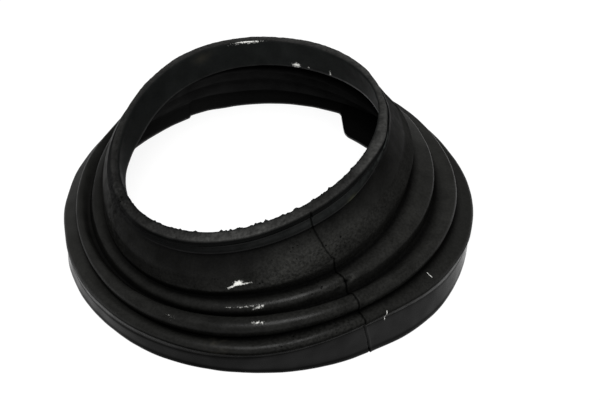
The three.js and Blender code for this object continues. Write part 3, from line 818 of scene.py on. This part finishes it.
# %% Set the finish
skirt_zone = zone("foot", "crease", 0.5)
rough = (0.34 - 0.1 * skirt_zone + 0.14 * neck_zone + 0.04 * flange_zone - 0.02 * groove_zone
         + 0.4 * end_face + 0.2 * collar_wall)
crest_glow = all_round({LEFT: 0.35, -150: 0.8, FRONT: 0.9, -82: 0.55, -68: 0.2, -20: 0.3, RIGHT: 0.4,
                        FAR: 0.5})
dull_neck = all_round({LEFT: 0.8, FRONT: 0.5, SEAM_SIDE: 0.7, -20: 0.9, RIGHT: 1.0})
shine = 0.10 * (1 - 0.95 * folds) * (1 - rolls * (1 - crest_glow)) * (1 - neck_zone * dull_neck)
under = smoothstep((facing_up - 0.05) / 0.35)
shine = shine * (1 - rolls * (1 - under)) * (1 - 0.9 * foot_shade)
dull_skirt = all_round({-175: -0.8, -158: -0.2, -140: -0.25, -125: 0.1, FRONT: 0.4, -75: -0.1,
                        SEAM_SIDE: -0.2, -38: 0, -25: 0.15, RIGHT: -0.5})
shine = shine * (1 - skirt_zone * dull_skirt)
shine = shine * (1 - 0.6 * groove_zone * all_round({LEFT: 1, FRONT: 0, SEAM_SIDE: 0, -30: 0.6, RIGHT: 1.6}))
dull_lip = all_round({LEFT: 1, -150: 1, -130: 0.3, FRONT: 0, SEAM_SIDE: 0, -40: 0.4, -24: 1, RIGHT: 1,
                      FAR: 1})
shine = shine * (1 - zone("rib_root", "lip", 0.3) * dull_lip)
shine = shine * smoothstep((from_valley - 0.6) / 2.0) * (1 - np.clip(painted_shade_line_of_rib, 0, 0.9))
shine = shine * (1 - 0.75 * painted_shade_under_lip)
shine = shine * (1 - np.clip(1.3 * side_of_lip, 0, 1)) * (1 - inside_zone)
shine = shine * (1 - 0.9 * collar_wall) * (1 - 0.6 * end_face)
shine = shine * (1 - np.clip(0.7 * seam_dark + painted_foot_shadow + 0.8 * shaded, 0, 1)) * (1 + 0.3 * patchy)
grain_of_neck = all_round({LEFT: 0.15, -150: 0.4, FRONT: 0.3, -98: 0.4, -80: 0.9, -66: 0.75, -45: 0.2,
                           RIGHT: 0.05, FAR: 0.1})
grain_of_rolls = all_round({LEFT: 0.1, FRONT: 0.6, -72: 1.2, -50: 0.8, RIGHT: 0.2})
grain = 0.2 + 0.6 * neck_zone * grain_of_neck + 0.6 * rough_spot + 0.4 * rolls * grain_of_rolls
grain = grain + 0.8 * mark(-77, "flange", 8, 10, 3) + 0.4 * end_face + 0.6 * mark(-159, "lip", 6, 4, 3)
print("shine up to", shine.max().round(3), "and grain up to", grain.max().round(2))

# %% [markdown]
# ## Chalky marks
#
# Something pale has rubbed off on the boot in a few places: a smear on the neck, streaks on the two rolls
# below it, and a line and a few spots inside the collar. They are nothing but a thin layer of paint or
# chalk, so they change the colour and nothing else. Two pale hairs lie on the flange, and they are drawn
# in the same way.

# %% Place the chalky marks
chalk = (1.7 * mark(-98.9, "inner", 18, 1.2, 0.7) + 1.3 * mark(-101, "inner", 16, 1.6, 0.4, 0.35)
         + 1.0 * mark(-96.4, "inner", 17, 1.8, 0.35) + 0.62 * mark(-97, "middle", 8, 6.5, 0.30)
         + 0.85 * mark(-91.8, "middle", 6, 2.2, 0.45, 0.1) + 0.9 * mark(-92, "outer", 8, 2.3, 0.5, -0.1)
         + 0.45 * mark(-117.5, "outer", 7, 1.8, 0.8) + 0.85 * mark(97.5, "lip_inner", 2, 3.8, 0.3)
         + 0.5 * mark(101, "lip_inner", 2, 7, 0.3) + 1.4 * mark(76, "lip_inner", 12, 1.6, 0.9)
         + 1.0 * mark(57.5, "lip_inner", 12, 0.55, 1.1, -1.2) + 0.8 * mark(69.5, "lip_inner", 12, 0.4, 0.4)
         + 0.7 * mark(-79.5, "middle", 10, 0.4, 0.5) + 0.8 * mark(-153.5, "inner", 16, 0.35, 0.5)
         + 0.35 * mark(-17, "lip", 6, 0.3, 1.4) + 0.5 * mark(-80.5, "middle", 5, 0.8, 0.25, 0.8))
print("chalk at", int((chalk > 0.5).sum()), "points")

# %% Draw the hairs
HAIR_STRENGTH = 1.6


def fibre(bearing, first, last, turn, width):
    """A hair, from one place to another up the section, both in millimetres, which curves a little."""
    radius = section[np.abs(off_bearing(bearing)).argmin(), START["flange"] + 8, 0]
    across = np.radians(off_bearing(bearing))[:, None] * radius
    up_it = (ALONG - first) / (last - first)
    curve = turn * (up_it - 0.5) + 0.5 * turn * (up_it - up_it**2)
    return np.exp(-(((across - curve) / width) ** 2)) * smoothstep(up_it * 8) * smoothstep((1 - up_it) * 8)


chalk += (HAIR_STRENGTH * fibre(-37.0, 14.4, 17.0, -0.25, 0.12)
          + HAIR_STRENGTH * fibre(-55.8, 10.3, 15.7, 0.35, 0.11))
print("chalk and hairs at", int((chalk > 0.5).sum()), "points")

# %% [markdown]
# ## Points that the mesh can do without
#
# The grid is dense everywhere, because each mark finds its place on it by counting steps. The mesh needs
# that only beside the seam, under the hairs and at the small marks. Elsewhere a bearing is left out if it
# lies too close to the last one that was kept, and so is a point of the section. A piece of the visual
# model may have up to 200,000 triangles, and this keeps the skin below that.

# %% Thin out the grid
SPACING = 1.0  # degrees between bearings
SPACING_OF_MARKS = 0.5
SPACING_OF_PLAIN_PARTS = 1.5
SPACED_PARTS = [(0, 20, SPACING_OF_PLAIN_PARTS), (160, 12, SPACING_OF_PLAIN_PARTS),
                (-97, 8, SPACING_OF_MARKS), (-159.5, 2.5, SPACING_OF_MARKS), (116.5, 2, SPACING_OF_MARKS),
                (SEAM_BEARING, SEAM_REACH, 0)]
SPACED_PARTS += [(hair, 0.9, 0) for hair in HAIR_BEARINGS]
SPACING_OUTSIDE = 0.16  # millimetres between points of a section
SPACING_INSIDE = 1.0


def kept(places, spacing):
    """The numbers of the places to keep, so that each lies at least its spacing past the last one kept."""
    chosen, last = [], -math.inf
    for i, (at, apart) in enumerate(zip(places, spacing)):
        if at - last > apart - 1e-6:
            chosen.append(i)
            last = at
    return np.array(chosen)


spacing_around = np.full(len(DEGREES), SPACING)
for middle_of_it, reach, apart in SPACED_PARTS:
    spacing_around[np.abs(off_bearing(middle_of_it)) <= reach] = apart
points_along = np.arange(section.shape[1])
spacing_along = np.where(points_along > START["seal_bottom"], SPACING_INSIDE, SPACING_OUTSIDE)
KEPT = np.ix_(kept(DEGREES, spacing_around), kept(ALONG.mean(axis=0), spacing_along))
print("the mesh keeps", KEPT[0].size, "bearings and", KEPT[1].size, "points of each section")

# %% [markdown]
# ## From points to a mesh
#
# Each point is joined to its neighbours, along its own section and in the next one, and the last section
# closes on the first. That gives a single closed skin with no loose faces.

# %% Make the mesh
def mesh_of(grid):
    """A closed mesh through a grid of points that closes on itself both ways."""
    sections, points = grid.shape[:2]
    k, i = np.meshgrid(np.arange(sections), np.arange(points), indexing="ij")
    next_k, next_i = (k + 1) % sections, (i + 1) % points
    quads = np.stack([k * points + i, next_k * points + i, next_k * points + next_i, k * points + next_i], -1)
    mesh = bpy.data.meshes.new("boot_skin")
    mesh.from_pydata((grid.reshape(-1, 3) * MM).tolist(), [], quads.reshape(-1, 4).tolist())
    mesh.shade_smooth()
    return mesh


def store(mesh, name, colours):
    """Keeps one colour for each point of the mesh, for the material to read."""
    four = np.concatenate([colours, np.ones(colours.shape[:-1] + (1,))], axis=-1)
    layer = mesh.attributes.new(name, "FLOAT_COLOR", "POINT")
    layer.data.foreach_set("color", four.astype(np.float32).ravel())


boot = bpy.data.objects.new("boot_skin", mesh_of(skin[KEPT]))
bpy.context.scene.collection.objects.link(boot)
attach(boot, "root")
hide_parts("driveshaft_boot")
store(boot.data, "tone", np.clip(tone, 0, 1)[KEPT])
store(boot.data, "finish", np.clip(np.stack([rough, shine, grain], axis=-1), 0, 1)[KEPT])
store(boot.data, "chalk", np.clip(np.repeat(chalk[..., None], 3, axis=-1), 0, 2)[KEPT])
print("faces:", len(boot.data.polygons))

# %% [markdown]
# ## The material
#
# The material reads the tone and the finish of each point, and adds what is too fine for the points: a
# grain of a few tenths of a millimetre, small pits, and the broken edge of the chalk.

# %% Mix the rubber
material = bpy.data.materials.new("black_rubber")
material.use_nodes = True
nodes, links = material.node_tree.nodes, material.node_tree.links
shader = nodes["Principled BSDF"]
where = nodes.new("ShaderNodeTexCoord").outputs["Object"]


def attribute(name):
    """The colour that each point of the mesh keeps under a name."""
    node = nodes.new("ShaderNodeAttribute")
    node.attribute_name = name
    return node.outputs["Color"]


def parts_of(colour):
    """The three numbers of a colour."""
    node = nodes.new("ShaderNodeSeparateColor")
    links.new(colour, node.inputs["Color"])
    return node.outputs["Red"], node.outputs["Green"], node.outputs["Blue"]


def noise_of(size, detail=3.0):
    """Noise with features of the given size in millimetres."""
    node = nodes.new("ShaderNodeTexNoise")
    links.new(where, node.inputs["Vector"])
    node.inputs["Scale"].default_value = 1 / (size * MM)
    node.inputs["Detail"].default_value = detail
    return node.outputs["Fac"]


def ranged(value, low, high, to_low=0.0, to_high=1.0):
    """Moves a value from one range to another, and holds it there."""
    node = nodes.new("ShaderNodeMapRange")
    links.new(value, node.inputs["Value"])
    node.inputs["From Min"].default_value = low
    node.inputs["From Max"].default_value = high
    node.inputs["To Min"].default_value = to_low
    node.inputs["To Max"].default_value = to_high
    return node.outputs["Result"]


def math_of(kind, a, b):
    """Adds, subtracts or multiplies two values. A fixed one is set on the socket itself."""
    node = nodes.new("ShaderNodeMath")
    node.operation = kind
    for socket, value in zip(node.inputs, (a, b)):
        if isinstance(value, (int, float)):
            socket.default_value = value
        else:
            links.new(value, socket)
    return node.outputs["Value"]


def blend(kind, share, a, b):
    """Mixes two colours. A fixed colour is set on the socket itself."""
    node = nodes.new("ShaderNodeMix")
    node.data_type, node.blend_type = "RGBA", kind
    for socket, value in zip((node.inputs[0], node.inputs[6], node.inputs[7]), (share, a, b)):
        if isinstance(value, (int, float, tuple)):
            socket.default_value = value
        else:
            links.new(value, socket)
    return node.outputs[2]


PIT_COLOUR = (0.0006, 0.0006, 0.0006, 1)
CHALK_COLOUR = (0.62, 0.62, 0.59, 1)
PIT_SPACING = 1.5
BUMP_STRENGTH = 0.6
BUMP_HEIGHT = 0.12

rough_of, shine_of, grain_of = parts_of(attribute("finish"))
chalk_of = parts_of(attribute("chalk"))[0]
speckle = ranged(noise_of(0.8, 5), 0.35, 0.65, 0.55, 1.45)
speckled_tone = blend("MULTIPLY", grain_of, attribute("tone"), speckle)

cells = nodes.new("ShaderNodeTexVoronoi")
links.new(where, cells.inputs["Vector"])
cells.inputs["Scale"].default_value = 1 / (PIT_SPACING * MM)
pit = ranged(cells.outputs["Distance"], 0.14, 0.24, 1.0, 0.0)
pit = math_of("MULTIPLY", pit, ranged(noise_of(4, 1), 0.5, 0.62))
pit = math_of("MULTIPLY", pit, ranged(grain_of, 0.35, 0.8))
pitted = blend("MIX", math_of("MULTIPLY", pit, 0.85), speckled_tone, PIT_COLOUR)

chalk_edge = math_of("ADD", chalk_of, ranged(noise_of(0.5, 5), 0.3, 0.7, -0.42, 0.42))
chalky = ranged(chalk_edge, 0.45, 1.15)
links.new(blend("MIX", chalky, pitted, CHALK_COLOUR), shader.inputs["Base Color"])

uneven = ranged(noise_of(2.5, 3), 0.3, 0.7, -0.06, 0.06)
links.new(math_of("ADD", rough_of, uneven), shader.inputs["Roughness"])
links.new(math_of("MULTIPLY", shine_of, math_of("SUBTRACT", 1.0, pit)), shader.inputs["Specular IOR Level"])

height = math_of("MULTIPLY", noise_of(0.45, 4), grain_of)
height = math_of("SUBTRACT", height, math_of("MULTIPLY", pit, 1.2))
bump = nodes.new("ShaderNodeBump")
bump.inputs["Strength"].default_value = BUMP_STRENGTH
bump.inputs["Distance"].default_value = BUMP_HEIGHT * MM
links.new(height, bump.inputs["Height"])
links.new(bump.outputs["Normal"], shader.inputs["Normal"])
boot.data.materials.append(material)
print("the material has", len(nodes), "nodes")

# %% [markdown]
# ## The studio
#
# The boot stands on white paper, in the light of one large lamp overhead and a weak one behind on the
# left. The paper glows a little, so that it stays white to its edge without a strong lamp.

# %% Lay the floor
FLOOR_SIZE = 3
PAPER_GREY = 0.12
PAPER_ROUGHNESS = 0.9
PAPER_GLOW = 0.9
floor_mesh = bpy.data.meshes.new("floor")
half_size = FLOOR_SIZE / 2
floor_corners = [(-half_size, -half_size, 0), (half_size, -half_size, 0),
                 (half_size, half_size, 0), (-half_size, half_size, 0)]
floor_mesh.from_pydata(floor_corners, [], [(0, 1, 2, 3)])
floor = bpy.data.objects.new("floor", floor_mesh)
bpy.context.scene.collection.objects.link(floor)
paper = bpy.data.materials.new("white_paper")
paper.use_nodes = True
paper_inputs = paper.node_tree.nodes["Principled BSDF"].inputs
paper_inputs["Base Color"].default_value = (PAPER_GREY, PAPER_GREY, PAPER_GREY, 1)
paper_inputs["Roughness"].default_value = PAPER_ROUGHNESS
paper_inputs["Emission Color"].default_value = (1, 1, 1, 1)
paper_inputs["Emission Strength"].default_value = PAPER_GLOW
floor_mesh.materials.append(paper)
floor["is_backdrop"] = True
print("floor of", FLOOR_SIZE, "m")

# %% Light the studio
WORLD_LIGHT = 0.2
LIT_POINT = Vector((0, 0, 0.02))
world = bpy.data.worlds.new("studio")
world.use_nodes = True
world.node_tree.nodes["Background"].inputs["Color"].default_value = (1, 1, 1, 1)
world.node_tree.nodes["Background"].inputs["Strength"].default_value = WORLD_LIGHT
bpy.context.scene.world = world


def soft_light(name, at, size, power):
    """A square lamp that faces the boot."""
    lamp = bpy.data.lights.new(name, "AREA")
    lamp.size, lamp.energy = size, power
    light = bpy.data.objects.new(name, lamp)
    light.location = at
    light.rotation_euler = (LIT_POINT - Vector(at)).to_track_quat("-Z", "Y").to_euler()
    bpy.context.scene.collection.objects.link(light)


soft_light("overhead", (0, -0.5, 0.87), 0.5, 14)
soft_light("left_side", (-0.7, 0.8, 0.35), 0.6, 1.2)
bpy.context.scene.view_settings.view_transform = "Standard"
print("lamps:", len(bpy.data.lights))

# %% [markdown]
# ## The sizes at the end
#
# The box round the visual model is printed. The skin may stand out of the solid model's box
# only a little.

# %% Print the size of the visual model
low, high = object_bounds()
print("visual model from", tuple(low), "to", tuple(high))
